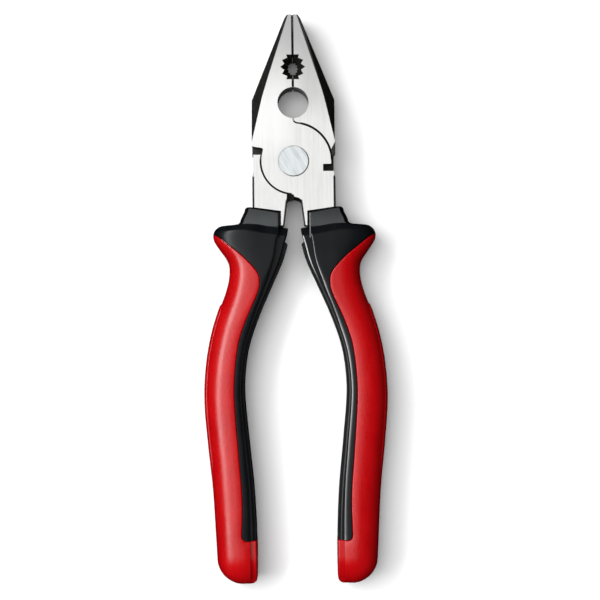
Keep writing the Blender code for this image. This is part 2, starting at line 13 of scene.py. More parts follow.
import bpy
import numpy as np
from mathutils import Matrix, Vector


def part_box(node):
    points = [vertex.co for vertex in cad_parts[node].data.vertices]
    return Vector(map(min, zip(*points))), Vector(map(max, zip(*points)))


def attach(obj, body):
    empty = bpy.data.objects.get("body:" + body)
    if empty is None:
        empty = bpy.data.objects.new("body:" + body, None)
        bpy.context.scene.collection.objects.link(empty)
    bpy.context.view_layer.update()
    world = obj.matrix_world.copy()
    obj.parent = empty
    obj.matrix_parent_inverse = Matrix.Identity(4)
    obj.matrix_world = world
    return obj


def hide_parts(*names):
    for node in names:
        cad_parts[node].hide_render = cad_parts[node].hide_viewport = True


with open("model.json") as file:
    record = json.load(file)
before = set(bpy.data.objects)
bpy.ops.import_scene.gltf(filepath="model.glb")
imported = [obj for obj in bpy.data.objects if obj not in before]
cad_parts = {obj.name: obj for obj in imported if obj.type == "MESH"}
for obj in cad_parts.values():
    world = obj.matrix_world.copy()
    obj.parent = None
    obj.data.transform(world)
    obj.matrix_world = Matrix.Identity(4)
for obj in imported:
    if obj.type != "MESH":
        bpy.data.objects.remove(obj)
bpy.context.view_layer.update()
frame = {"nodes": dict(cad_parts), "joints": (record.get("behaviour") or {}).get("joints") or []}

MM = 0.001
PIVOT = Vector(frame["joints"][0]["pos_m"])
print("nodes:", sorted(frame["nodes"]))
print("pivot at", [round(value / MM, 2) for value in PIVOT], "mm")

# %% [markdown]
# ## Camera
#
# The photograph looks straight down on the pliers. How far off it was taken isn't known. Half a metre, with a
# lens to match, brings the outlines of the thin head and the thick grips into place together. The picture is
# 211 mm wide a little above the pliers' middle plane, its centre lies near the middle of the tool, and the
# tool is turned a little over half a degree in it.

# %% Set the camera up
VIEW_WIDTH = 0.2108
VIEW_CENTRE = (0.00175, -0.00013)
VIEW_HEIGHT = PIVOT.z + 3.0 * MM
VIEW_DISTANCE = 0.5
VIEW_TURN = math.radians(-0.58)
SENSOR_WIDTH = 36.0

bpy.ops.object.camera_add(
    location=(*VIEW_CENTRE, VIEW_HEIGHT + VIEW_DISTANCE), rotation=(0.0, 0.0, VIEW_TURN),
)
camera = bpy.context.object
camera.name = "camera"
camera.data.sensor_width = SENSOR_WIDTH
camera.data.lens = SENSOR_WIDTH * VIEW_DISTANCE / VIEW_WIDTH
bpy.context.scene.camera = camera
print("lens", round(camera.data.lens, 1), "mm")

# %% [markdown]
# ## Light
#
# The highlights on the two handles tell where the light is. On the left handle the bright streak lies where
# the grip leans halfway to the left, on the right handle along the inner side, and the shadow falls to the
# right and a little down. So a bright panel stands halfway up on the left. Beside the streak the red fades
# slowly, so three weaker panels carry on from the bright one, step by step, until overhead. A wide soft sun
# and a dim world lift the shadows. Both are kept out of the reflections, as a photographer does with a
# polarising filter.

# %% Hang the lights
PANELS = [  # name, place, length and width, strength
    ("left_panel", (-0.53, 0.14, 0.58), (0.9, 0.2), 8.5),
    ("upper_left_panel", (-0.412, 0.06, 0.686), (0.8, 0.253), 2.2),
    ("upper_panel", (-0.194, 0.0, 0.776), (0.62, 0.225), 1.3),
    ("overhead_panel", (0.056, 0.0, 0.798), (0.62, 0.28), 0.5),
]
FILL_PLACE = (-0.1, 0.3, 1.35)
FILL_STRENGTH = 1.8
FILL_SPREAD = math.radians(60.0)
WORLD_STRENGTH = 0.06


def soft_panel(name, place, size, strength):
    """An area light that looks at the middle of the pliers."""
    bpy.ops.object.light_add(type="AREA", location=place)
    panel = bpy.context.object
    panel.name = name
    panel.rotation_euler = Vector(place).to_track_quat("Z", "Y").to_euler()
    panel.data.shape = "RECTANGLE"
    panel.data.size, panel.data.size_y = size
    panel.data.energy = strength * size[0] * size[1] * math.pi
    panel.visible_camera = False


for panel in PANELS:
    soft_panel(*panel)
bpy.ops.object.light_add(type="SUN", location=FILL_PLACE)
fill = bpy.context.object
fill.name = "soft_fill"
fill.rotation_euler = fill.location.to_track_quat("Z", "Y").to_euler()
fill.data.energy = FILL_STRENGTH
fill.data.angle = FILL_SPREAD
fill.visible_glossy = False

world = bpy.data.worlds.new("studio")
bpy.context.scene.world = world
world.use_nodes = True
background = world.node_tree.nodes["Background"]
background.inputs["Color"].default_value = (1.0, 1.0, 1.0, 1.0)
background.inputs["Strength"].default_value = WORLD_STRENGTH
world.cycles_visibility.glossy = False
bpy.context.scene.view_settings.view_transform = "Standard"

# %% [markdown]
# ## Shader maths as Python
#
# A finish is a tree of nodes. Written one by one they are hard to read, so a small class wraps a socket and
# lets sums be written as sums. Each operator adds one Math node. All other nodes come from one method.

# %% Two small classes for shaders
class Amount:
    """A socket that gives a number, a colour or a vector."""

    def __init__(self, finish, socket):
        self.finish = finish
        self.socket = socket

    def math(self, operation, first, second):
        return self.finish.node("ShaderNodeMath", {"operation": operation}, {0: first, 1: second})

    def __add__(self, other):
        return self.math("ADD", self, other)

    def __sub__(self, other):
        return self.math("SUBTRACT", self, other)

    def __rsub__(self, other):
        return self.math("SUBTRACT", other, self)

    def __mul__(self, other):
        return self.math("MULTIPLY", self, other)

    __radd__, __rmul__ = __add__, __mul__  # the order doesn't matter

    def __abs__(self):
        return self.math("ABSOLUTE", self, 0.0)

    def root(self):
        return self.math("SQRT", self, 0.0)

    def sign(self):
        return self.math("SIGN", self, 0.0)


class Finish:
    """One material and its node tree."""

    def __init__(self, name):
        self.material = bpy.data.materials.new(name)
        self.material.use_nodes = True
        self.tree = self.material.node_tree
        self.shader = self.tree.nodes["Principled BSDF"]

    def node(self, kind, settings, sockets, output=0):
        """Add a node and give back one of its outputs."""
        node = self.tree.nodes.new(kind)
        for key, value in settings.items():
            setattr(node, key, value)
        for key, value in sockets.items():
            self.feed(node.inputs[key], value)
        return Amount(self, node.outputs[output])

    def feed(self, socket, value):
        if isinstance(value, Amount):
            self.tree.links.new(value.socket, socket)
        else:
            socket.default_value = value

    def set(self, **sockets):
        """Feed the main shader. Underscores stand for spaces."""
        for key, value in sockets.items():
            self.feed(self.shader.inputs[key.replace("_", " ")], value)

    def place(self):
        """Object coordinates, in metres."""
        return self.node("ShaderNodeTexCoord", {}, {}, "Object")

    def parts(self, vector):
        return [self.node("ShaderNodeSeparateXYZ", {}, {0: vector}, axis) for axis in "XYZ"]

    def facing(self):
        """The three numbers of the direction that the surface faces."""
        return self.parts(self.node("ShaderNodeTexCoord", {}, {}, "Normal"))

    def stretched(self, scale, turn=0.0):
        """Object coordinates with a scale for each axis, after a turn about Z."""
        turned = self.node(
            "ShaderNodeMapping", {}, {"Vector": self.place(), "Rotation": (0.0, 0.0, turn)},
        )
        return self.node("ShaderNodeMapping", {}, {"Vector": turned, "Scale": scale})

    def noise(self, vector, scale=1.0, detail=2.0, roughness=0.5):
        sockets = {"Vector": vector, "Scale": scale, "Detail": detail, "Roughness": roughness}
        return self.node("ShaderNodeTexNoise", {}, sockets, "Fac")

    def step(self, value, low, high):
        """A soft step from 0 at low to 1 at high."""
        sockets = {"Value": value, "From Min": low, "From Max": high}
        return self.node("ShaderNodeMapRange", {"interpolation_type": "SMOOTHSTEP"}, sockets)

    def past(self, length, low, high):
        """A soft step between two lengths in millimetres."""
        return self.step(length, low * MM, high * MM)

    def mix(self, share, first, second):
        """A colour between two colours."""
        first, second = [c if isinstance(c, Amount) else (*c, 1.0) for c in (first, second)]
        return self.node("ShaderNodeMix", {"data_type": "RGBA"}, {0: share, 6: first, 7: second}, 2)

    def bump(self, height, depth):
        sockets = {"Height": height, "Distance": depth, "Strength": 1.0}
        return self.node("ShaderNodeBump", {}, sockets)


print("shader helpers ready")

# %% [markdown]
# ## Ground and blackened steel
#
# A lever is forged, blackened all over and then ground flat on its two faces, so the faces are bright and the
# sides stay black. The grinding belt runs along the jaws and leaves streaks a tenth of a millimetre wide and
# about a centimetre long. One finish does it all: where the surface faces up or down and lies at the height
# of a face it is ground, and elsewhere it is black oxide.
#
# Some places on the faces are dark too: the inner border of each tang, the outer border of its root, the thin
# end of the jaw beside the joint and the sides of the tips. The lines along the joint's edge and the split
# between the jaws are painted shade of the gaps there. Each is a soft mask, and its limits are lengths in
# millimetres.
#
# The photograph's jaws also reflect what stood round them. That can't be rebuilt, so its tones are painted:
# the left jaw paler, the right jaw darker, and both darker towards the tips.

# %% Steel of the levers
FINE_GRAIN = 0.004 * MM
JOINT_RIM = (12.05, 12.25)
FACE_LEVEL = (3.2, 3.7)
TANG_TAPER, TANG_BORDER, TANG_START = 0.124, (1.14, 1.28), (13.2, 13.8)
ROOT_BORDER, ROOT_START = (13.8, 13.9), (5.0, 5.6)
JAW_END_TAPER, JAW_END, JAW_END_RIM = 0.53, (10.96, 11.06), (13.3, 13.42)
REAR_LINE, REAR_WIDTH = 11.55, (0.30, 0.36)
FRONT_LINE, FRONT_WIDTH = 13.4, (0.36, 0.42)
JAW_TAPER, JAW_SIDE = 0.3268, (18.25, 18.35)
SPLIT_WIDTH, SPLIT_START = (0.38, 0.46), (25.6, 25.8)
HOLE_AHEAD, HOLE_RIM = 20.45 * MM, (5.72, 5.8)


def dark_places(finish, aside, ahead, above):
    """Masks of the places on a face that stay black, and of painted shade beside the gaps."""
    behind = -1.0 * ahead
    radius = (aside * aside + ahead * ahead).root()
    turned = aside * above.sign()  # on the lower face the joint is the other way round
    tang_face = finish.past(abs(aside) - TANG_TAPER * behind, *TANG_BORDER)
    tang_border = finish.past(behind, *TANG_START) * (1.0 - tang_face)
    root_border = finish.past(abs(aside), *ROOT_BORDER) * finish.past(behind, *ROOT_START)
    jaw_end = finish.past(turned - JAW_END_TAPER * ahead, *JAW_END)
    jaw_end = jaw_end * finish.past(radius, *JAW_END_RIM) * finish.past(ahead, 0.0, 0.5)
    # painted shade: dark lines beside the joint's gaps and the jaws' split
    rear_gap_shade = 1.0 - finish.past(abs(radius - REAR_LINE * MM), *REAR_WIDTH)
    rear_gap_shade = rear_gap_shade * finish.past(behind, -1.0, -0.5) * finish.past(-1.0 * turned, 0.5, 1.0)
    front_gap_shade = 1.0 - finish.past(abs(radius - FRONT_LINE * MM), *FRONT_WIDTH)
    front_gap_shade = front_gap_shade * finish.past(ahead, 0.0, 0.5) * finish.past(turned, 2.5, 3.0)
    tip_side = finish.past(abs(aside) + JAW_TAPER * ahead, *JAW_SIDE)
    split_shade = (1.0 - finish.past(abs(aside), *SPLIT_WIDTH)) * finish.past(ahead, *SPLIT_START)
    return [tang_border, root_border, jaw_end, rear_gap_shade, front_gap_shade, tip_side, split_shade]


def lever_steel():
    finish = Finish("ground_and_blackened_steel")
    x, y, z = finish.parts(finish.place())
    aside, ahead, above = x - PIVOT.x, y - PIVOT.y, z - PIVOT.z
    upright = abs(finish.facing()[2])
    joint = 1.0 - finish.past((aside * aside + ahead * ahead).root(), *JOINT_RIM)
    # On the joint's disc the rounded edges are bright as well.
    ground = finish.step(upright + 0.5 * joint, 0.97, 0.995) * finish.past(abs(above), *FACE_LEVEL)
    for dark in dark_places(finish, aside, ahead, above):
        ground = ground * (1.0 - dark)

    fine = finish.noise(finish.stretched((5200.0, 75.0, 300.0)), detail=3.0)
    broad = finish.noise(finish.stretched((1100.0, 45.0, 100.0)), detail=3.0)
    cloud = finish.noise(finish.stretched((260.0, 120.0, 120.0)), detail=4.0, roughness=0.6)
    streak = finish.step(0.38 * fine + 0.30 * broad + 0.32 * cloud, 0.36, 0.64)
    bright = finish.mix(streak, (0.60, 0.60, 0.592), (0.70, 0.70, 0.694))
    stained = finish.step(cloud, 0.5, 0.75)
    left_jaw = finish.past(-1.0 * aside, -2.0, 5.0) * finish.past(ahead, 0.0, 10.0)
    right_jaw = finish.past(aside, 0.0, 5.0) * finish.past(ahead, 12.0, 24.0)
    tips = finish.past(ahead, 17.5, 48.5)
    tones = [
        (0.4 * stained, (0.60, 0.596, 0.585)),
        (0.58 * left_jaw, (0.80, 0.80, 0.795)),
        (0.55 * right_jaw, (0.42, 0.415, 0.405)),
        (0.95 * tips, (0.36, 0.36, 0.36)),
    ]
    for share, tone in tones:
        bright = finish.mix(share, bright, tone)

    scale_spots = finish.noise(finish.place(), scale=900.0, detail=4.0, roughness=0.6)
    oxide = finish.mix(finish.step(scale_spots, 0.35, 0.7), (0.009, 0.009, 0.008), (0.022, 0.022, 0.020))
    past_hole = ahead - HOLE_AHEAD
    bored = 1.0 - finish.past((aside * aside + past_hole * past_hole).root(), *HOLE_RIM)
    unground = finish.mix(bored * (1.0 - ground), oxide, (0.25, 0.25, 0.245))
    finish.set(
        Base_Color=finish.mix(ground, unground, bright),
        Metallic=0.1 + 0.1 * ground,
        Roughness=(0.34 + 0.12 * fine) * ground + (0.40 + 0.2 * scale_spots) * (1.0 - ground),
        Normal=finish.bump(fine * ground + scale_spots * (1.0 - ground), FINE_GRAIN),
    )
    return finish.material


steel = lever_steel()
print("finish:", steel.name)

# %% [markdown]
# ## Working on one piece
#
# Blender's operators work on what is selected and active. A few helpers keep that in one place, and the last
# of them hands a piece over to the frame.

# %% Helpers for working on one piece
def select_none():
    for other in bpy.context.selected_objects:
        other.select_set(False)


def work_on(piece):
    """Make one object the only one selected, and the active one."""
    select_none()
    piece.select_set(True)
    bpy.context.view_layer.objects.active = piece


def edit_faces(piece, wanted):
    """Go into edit mode with those faces selected that are wanted."""
    work_on(piece)
    bpy.ops.object.mode_set(mode="EDIT")
    bpy.ops.mesh.select_mode(type="FACE")
    bpy.ops.mesh.select_all(action="DESELECT")
    bpy.ops.object.mode_set(mode="OBJECT")
    for face in piece.data.polygons:
        face.select = wanted(face)
    bpy.ops.object.mode_set(mode="EDIT")


def apply_modifier(piece, kind, **settings):
    work_on(piece)
    modifier = piece.modifiers.new(kind.lower(), kind)
    for key, value in settings.items():
        setattr(modifier, key, value)
    bpy.ops.object.modifier_apply(modifier=modifier.name)


def round_edges(piece, width, segments, degrees):
    """Bevel the edges that turn by more than an angle."""
    turn = math.radians(degrees)
    apply_modifier(piece, "BEVEL", width=width, segments=segments, limit_method="ANGLE", angle_limit=turn)


def smooth(piece, degrees):
    work_on(piece)
    bpy.ops.object.shade_smooth_by_angle(angle=math.radians(degrees))


def flatten_shading(piece):
    """Keep the shading of flat faces flat beside narrow roundings."""
    apply_modifier(piece, "WEIGHTED_NORMAL", keep_sharp=True, weight=100)


def dress(piece, material):
    piece.data.materials.clear()
    piece.data.materials.append(material)


def finished(piece, body, node):
    """Hand a piece over to the frame."""
    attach(piece, body)
    if node:
        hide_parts(node)
    piece.data.update()
    print(piece.name, "rides on", body, "with", len(piece.data.polygons), "faces")


print("modelling helpers ready")

# %% [markdown]
# ## The levers
#
# The CAD solids already have every outline of the levers: the jaws with their bevelled sides, the toothed
# grip, the ribbed hole, the lap joint and its notches. What they lack is an edge. No ground edge is perfectly
# sharp, and it is the narrow rounding that catches light. So each solid is copied, its loose triangles are
# merged, flat neighbours are dissolved into whole faces, and a Bevel modifier breaks all its edges.
#
# In the photograph the toothed grip is black inside. So its walls are cut at half height and the cut, which
# stays selected, is drawn in: the opening narrows to a waist that hides most of the bright floor.

# %% Break the edges of the levers
EDGE_BREAK = 0.11 * MM
LOOSE_GAP = 0.002 * MM
GRIP_CENTRE = PIVOT + Vector((0.0, 32.99 * MM, 0.0))
GRIP_REACH = 5.2 * MM
GRIP_WAIST = 0.46


def is_grip_wall(face):
    """Whether a face is a wall of the toothed grip."""
    reach = (face.center - GRIP_CENTRE).xy.length
    return reach < GRIP_REACH and abs(face.normal.z) < 0.3 and abs(face.normal.x) < 0.999


def broken_edges(node, name):
    """A copy of a lever's solid with a waist in its grip and with rounded edges."""
    piece = frame["nodes"][node].copy()
    piece.data = piece.data.copy()
    piece.name = piece.data.name = name
    for key in list(piece.keys()):
        del piece[key]
    piece.parent = None
    bpy.context.collection.objects.link(piece)
    work_on(piece)
    bpy.ops.object.mode_set(mode="EDIT")
    bpy.ops.mesh.select_all(action="SELECT")
    bpy.ops.mesh.remove_doubles(threshold=LOOSE_GAP)
    bpy.ops.mesh.dissolve_limited(angle_limit=math.radians(0.5))
    bpy.ops.object.mode_set(mode="OBJECT")
    edit_faces(piece, is_grip_wall)
    bpy.ops.mesh.bisect(plane_co=PIVOT, plane_no=(0.0, 0.0, 1.0))
    bpy.ops.transform.resize(value=(GRIP_WAIST, GRIP_WAIST, 1.0), center_override=GRIP_CENTRE)
    bpy.ops.object.mode_set(mode="OBJECT")
    round_edges(piece, EDGE_BREAK, 3, 28.0)
    smooth(piece, 12.0)
    flatten_shading(piece)
    dress(piece, steel)
    return piece


levers = {side: broken_edges(f"{side}_jaw_lever", f"{side}_lever") for side in ("left", "right")}
for lever in levers.values():
    print(lever.name, "has", len(lever.data.polygons), "faces")

# %% [markdown]
# ## The rivet
#
# The rivet is hammered tight and ground flush with the faces, which leaves its own streaks, askew to those of
# the jaws. A thin dark ring is painted round its edge, with painted shade that darkens its lower right.
# A cylinder a little shorter than the rivet is added. Its two faces are extruded into a low lip that stands
# out by a hair, and an inset gives each of them a narrow rim.

# %% Finish of the rivet
RIVET_SLANT = math.radians(-30.0)
DARK_RIM = (5.02, 5.08)


def rivet_finish():
    finish = Finish("brushed_rivet_steel")
    x, y, _ = finish.parts(finish.place())
    aside, behind = x - PIVOT.x, PIVOT.y - y
    fine = finish.noise(finish.stretched((2600.0, 150.0, 100.0), RIVET_SLANT), detail=3.0)
    broad = finish.noise(finish.stretched((700.0, 90.0, 100.0), RIVET_SLANT), detail=2.0)
    streak = finish.step(0.4 * fine + 0.6 * broad, 0.36, 0.64)
    metal = finish.mix(streak, (0.48, 0.51, 0.53), (0.65, 0.68, 0.69))
    # painted shade: the dark ring is darker at the lower right
    shaded_side = 0.25 + 0.7 * finish.past(aside + 0.6 * behind, -3.0, 4.5)
    rim = finish.past((aside * aside + behind * behind).root(), *DARK_RIM) * shaded_side
    finish.set(
        Base_Color=finish.mix(rim, metal, (0.008, 0.008, 0.008)),
        Metallic=0.3 - 0.2 * rim,
        Roughness=0.28 + 0.14 * fine + 0.2 * rim,
        Normal=finish.bump(fine, FINE_GRAIN),
    )
    return finish.material


rivet_steel = rivet_finish()
print("finish:", rivet_steel.name)

# %% Model the rivet
RIVET_RADIUS = 5.36 * MM
RIVET_LIP = 0.1 * MM
LIP_SPREAD = 1.015
RIM_WIDTH = 0.5 * MM
rivet_low, rivet_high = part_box("pivot_rivet")
rivet_length = rivet_high.z - rivet_low.z

select_none()
bpy.ops.mesh.primitive_cylinder_add(
    vertices=96, radius=RIVET_RADIUS, depth=rivet_length - 2 * RIVET_LIP, location=PIVOT,
)
rivet = bpy.context.object
rivet.name = rivet.data.name = "rivet"
bpy.ops.object.transform_apply(location=True, rotation=True, scale=True)
edit_faces(rivet, lambda face: abs(face.normal.z) > 0.9)
bpy.ops.mesh.extrude_region_shrink_fatten(TRANSFORM_OT_shrink_fatten={"value": RIVET_LIP})
bpy.ops.transform.resize(value=(LIP_SPREAD, LIP_SPREAD, 1.0), center_override=PIVOT)
bpy.ops.mesh.inset(thickness=RIM_WIDTH, use_individual=True)
bpy.ops.object.mode_set(mode="OBJECT")
smooth(rivet, 35.0)
dress(rivet, rivet_steel)
finished(rivet, "fixed_lever", "pivot_rivet")

# %% [markdown]
# ## Lines along a handle
#
# A grip has no straight line in it. Its outer side, the seam between black and red, and the thin rib inside
# all swing along the handle, so each is a smooth curve through a row of stations. A station is a share of the
# grip's length and a share of the way between two values. Sizes are in millimetres from the rivet, as in the
# CAD model: `x` across the tool, `d` back along it, `z` up from its middle. One handle is modelled, on the
# right. The other is its copy, turned half a turn about the length of the tool.

# %% Curves through stations
GUARD_FRONT = 22.75
GUARD_TIP = 26.5
HANDLE_LENGTH = 148.5
HANDLE_END = 148.48  # a hair inside the CAD model's end
HALF_SPREAD = 32.42
HALF_THICKNESS = 8.25
GRIP_LENGTH = HANDLE_LENGTH - GUARD_TIP


def smooth_line(shares, low, high):
    """A function of d that passes smoothly through stations between a low and a high value."""
    places = np.array([GUARD_TIP + place * GRIP_LENGTH for place, _ in shares])
    values = np.array([low + (high - low) * share for _, share in shares])
    slopes = np.empty_like(values)
    slopes[1:-1] = (values[2:] - values[:-2]) / (places[2:] - places[:-2])
    slopes[0] = (values[1] - values[0]) / (places[1] - places[0])
    slopes[-1] = (values[-1] - values[-2]) / (places[-1] - places[-2])

    def value(d):
        index = int(np.clip(np.searchsorted(places, d) - 1, 0, len(places) - 2))
        span = places[index + 1] - places[index]
        t = float(np.clip((d - places[index]) / span, 0.0, 1.0))
        rise = 3 * t ** 2 - 2 * t ** 3
        lead = (t ** 3 - 2 * t ** 2 + t) * span * slopes[index]
        trail = (t ** 3 - t ** 2) * span * slopes[index + 1]
        return values[index] + (values[index + 1] - values[index]) * rise + lead + trail

    return value


rib_line = smooth_line([
    (-0.037, 0.022), (-0.018, 0.034), (0.017, 0.072), (0.069, 0.130), (0.138, 0.245), (0.225, 0.388),
    (0.311, 0.499), (0.381, 0.544), (0.455, 0.555), (0.589, 0.512), (0.728, 0.462), (0.867, 0.439),
    (1.0, 0.438),
], 0.0, HALF_SPREAD)
outer_line = smooth_line([
    (0.0, 0.886), (0.012, 0.874), (0.034, 0.817), (0.069, 0.729), (0.096, 0.710), (0.138, 0.733),
    (0.208, 0.838), (0.277, 0.918), (0.365, 0.978), (0.467, 1.0), (0.589, 0.968), (0.728, 0.915),
    (0.865, 0.886), (1.0, 0.860),
], 0.0, HALF_SPREAD)
seam_line = smooth_line([
    (-0.019, 1.0), (0.001, 0.829), (0.017, 0.738), (0.051, 0.570), (0.086, 0.441), (0.104, 0.394),
    (0.123, 0.376), (0.156, 0.393), (0.242, 0.533), (0.311, 0.615), (0.415, 0.658), (0.485, 0.656),
    (0.624, 0.619), (0.75, 0.587), (0.88, 0.598),
], 0.0, HALF_SPREAD)
NARROWING = [(-0.02, 1.0), (0.08, 0.5), (0.16, 0.2), (0.275, 0.0), (0.6, 0.0), (0.88, 0.2), (1.0, 0.2)]
rib_width = smooth_line(NARROWING, 0.75, 1.45)
ledge_width = smooth_line(NARROWING, 0.9, 3.3)
print("outer line at the middle of the grip:", round(outer_line(85.0), 2), "mm")

# %% [markdown]
# ## The section of a grip
#
# Cut across, a grip is flat on its inner side, with a ledge and a rib there, and its face curves over in one
# sweep to the outer side. The face is drawn with a curve that starts flat and ends upright. At the guard it
# rises over a plain slope to its full height, and at the end it comes down along a quarter of an ellipse. The
# guard's front isn't square to the handle: beside the collar it leans forward, and towards the middle of the
# tool it stays back. Where black and red meet, both dip into the seam.

# %% Heights and widths of the section
NOSE_RUN = 2.9
NOSE_RISE = 2.0
NOSE_EDGE = 0.1
NOSE_ROUND = 0.7
NOSE_REACH = 60.0  # behind this the nose's steeper outer side has no say
STEEP_START, STEEP_RUN, STEEP_SHIFT = 9.0, 11.0, 0.9
LEAN_X = [0.0, 1.8, 3.8, 5.0, 9.0, 13.0, 17.0, 19.0, 21.0, 25.0]
LEAN_FORWARD = [-1.4, -0.9, -0.3, -0.3, 0.3, 0.75, 0.95, 0.8, 0.6, 0.5]
LEAN_END, LEAN_FADE = GUARD_FRONT + 8.0, 6.0
END_OUTER = 8.5
END_INNER = 2.4
END_RUN, END_DROP = 10.5, 6.8
LEDGE_STEP = 2.2
CROWN = 3.3
GUARD_FULLNESS, GUARD_FULL_END = 2.0, 30.0
PAD_START, PAD_END = 50.0, 114.0
RIB_HALF = 4.0


def gentle(share):
    """A share from 0 to 1 that starts and ends without a kink."""
    return share ** 2 * (3.0 - 2.0 * share)


def drawn_in(over, radius):
    """How far a quarter circle has drawn a line in, when the line has run over its start by so much."""
    over = np.clip(over, 0.0, radius)
    return radius - np.sqrt(radius ** 2 - over ** 2)


def outer_side(d):
    front = drawn_in(GUARD_TIP - d, GUARD_TIP - GUARD_FRONT)
    return outer_line(max(d, GUARD_TIP)) - front - drawn_in(d - (HANDLE_END - END_OUTER), END_OUTER)


def inner_corner(d):
    """How far the end's inner corner has drawn the inner side in."""
    return drawn_in(d - (HANDLE_END - END_INNER), END_INNER)


def face_height(d):
    behind = d - GUARD_FRONT
    slope = (NOSE_RUN - behind) * NOSE_RISE / NOSE_RUN
    nose = (slope + np.hypot(slope, NOSE_EDGE)) / 2 + drawn_in(NOSE_ROUND - behind, NOSE_ROUND)
    return HALF_THICKNESS - nose - drawn_in(d - (HANDLE_END - END_RUN), END_RUN) * END_DROP / END_RUN


def lean(x, d):
    """How far forward the guard's front stands at x, fading out behind it."""
    fade = np.clip((LEAN_END - d) / LEAN_FADE, 0.0, 1.0)
    stand = sum(np.interp(x + shift, LEAN_X, LEAN_FORWARD) for shift in (-1.2, -0.4, 0.4, 1.2)) / 4
    return stand * gentle(fade)


def ledge_edge(d):
    return rib_line(d) + rib_width(d) + inner_corner(d)


def face_edge(d):
    return ledge_edge(d) + ledge_width(d)


def crown(x, d):
    """Height of the face at x: flat at its inner edge, upright at the outer side."""
    inner = face_edge(d)
    share = np.clip((x - inner) / (outer_side(d) - inner), 0.0, 1.0)
    aside = np.clip((x - STEEP_START) / STEEP_RUN, 0.0, 1.0)
    steeper = STEEP_SHIFT * gentle(aside) if d < NOSE_REACH else 0.0
    fullness = CROWN + GUARD_FULLNESS * float(np.interp(d, [GUARD_FULL_END, PAD_START], [1.0, 0.0]))
    return face_height(d + steeper) * np.sqrt(1.0 - share ** fullness)


print("grip at its middle:", round(outer_side(85.0) - rib_line(85.0), 2), "mm wide")

# %% The seam between black and red
SEAM_END = 132.6
SEAM_CORNER = 1.8
CORNER_D = SEAM_END - SEAM_CORNER
CORNER_X = seam_line(CORNER_D) - SEAM_CORNER


def seam_x(d):
    """Where the seam is, with a round corner at its end."""
    if d <= CORNER_D:
        return seam_line(d)
    return CORNER_X + math.sqrt(max(SEAM_CORNER ** 2 - (d - CORNER_D) ** 2, 0.0))


def beyond_seam(x, d):
    """Distance from the seam in plan, positive on the red side."""
    if d <= CORNER_D:
        slope = (seam_line(d + 0.1) - seam_line(d - 0.1)) / 0.2
        return (x - seam_line(d)) / math.hypot(1.0, slope)
    return np.hypot(np.maximum(x - CORNER_X, 0.0), d - CORNER_D) - SEAM_CORNER


def dip(distance, radius):
    """How far an edge rounding has lowered a face at a distance from the edge."""
    return drawn_in(radius - np.maximum(distance, 0.0), radius)


def bulge(distance, width, edge_slope, power=2):
    """How far a face has sunk towards its edge, steeper and steeper over a width beside it."""
    reach = np.clip(1.0 - distance / width, 0.0, 1.0)
    return edge_slope * width / power * reach ** power


print("seam ends", round(SEAM_END, 1), "mm behind the rivet, at x", round(CORNER_X, 2))

# %% [markdown]
# ## From sections to a skin
#
# A body whose section keeps changing is lofted. In Blender a grid does this by hand: it is added with one row
# for each section and one column for each point, its rows are laid on the sections, its long sides are merged
# into a tube and its two open ends are filled. Where a section runs out to nothing, its upper and its lower
# half lie on each other in the middle plane. Such folded faces are deleted before the ends are filled.

# %% Loft a grid through sections
SKIN_GAP = 0.0005 * MM
FOLD_HEIGHT = 0.001 * MM


def eased(count):
    """Shares from 0 to 1 that crowd at both ends, where edges are rounded."""
    return (1.0 - np.cos(np.linspace(0.0, math.pi, count))) / 2


def both_faces(upper, d):
    """A closed section from its upper half, which runs from the middle plane to the middle plane."""
    lower = [(x, -z) for x, z in reversed(upper[1:-1])]
    return [(x, d - lean(x, d), z) for x, z in upper + lower]


def loft(name, sections):
    """A closed skin through sections, each a list of (x, d, z) in millimetres."""
    rings = np.array([section + section[:1] for section in sections])
    rows, columns = rings.shape[:2]
    select_none()
    bpy.ops.mesh.primitive_grid_add(x_subdivisions=columns - 1, y_subdivisions=rows - 1, size=1.0)
    skin = bpy.context.object
    skin.name = skin.data.name = name
    points = np.empty((rows * columns, 3))
    points[:, 0] = rings[:, :, 0].ravel() * MM + PIVOT.x
    points[:, 1] = PIVOT.y - rings[:, :, 1].ravel() * MM
    points[:, 2] = rings[:, :, 2].ravel() * MM + PIVOT.z
    skin.data.vertices.foreach_set("co", points.ravel())

    def is_folded(face):
        heights = [abs(skin.data.vertices[index].co.z - PIVOT.z) for index in face.vertices]
        return max(heights) < FOLD_HEIGHT

    bpy.ops.object.mode_set(mode="EDIT")
    bpy.ops.mesh.select_all(action="SELECT")
    bpy.ops.mesh.remove_doubles(threshold=SKIN_GAP)
    bpy.ops.object.mode_set(mode="OBJECT")
    edit_faces(skin, is_folded)
    bpy.ops.mesh.delete(type="FACE")
    bpy.ops.mesh.select_all(action="SELECT")
    bpy.ops.mesh.fill_holes(sides=0)
    bpy.ops.mesh.select_all(action="SELECT")
    bpy.ops.mesh.normals_make_consistent(inside=False)
    bpy.ops.object.mode_set(mode="OBJECT")
    smooth(skin, 40.0)
    return skin


print("loft helper ready")

# %% [markdown]
# ## Gripping flats
#
# Behind the tips the jaws meet on two flats with fine cross teeth, and between the round hole and the toothed
# grip on two plain cutting edges. They stand a little proud of the jaws and almost touch when the jaws are
# shut, so hardly any light comes through. Each flat is lofted through sections that step out and in from
# tooth to tooth, and is joined to its lever.

# %% Model the flats and hand the levers over
TOOTH_PITCH = 0.9
TOOTH_DEPTH = 0.08
CREST = 0.012
FLAT_HALF = 3.1
FLAT_BACK = 0.7
TOOTHED, CUTTING = (37.4, 51.46), (26.0, 28.6)


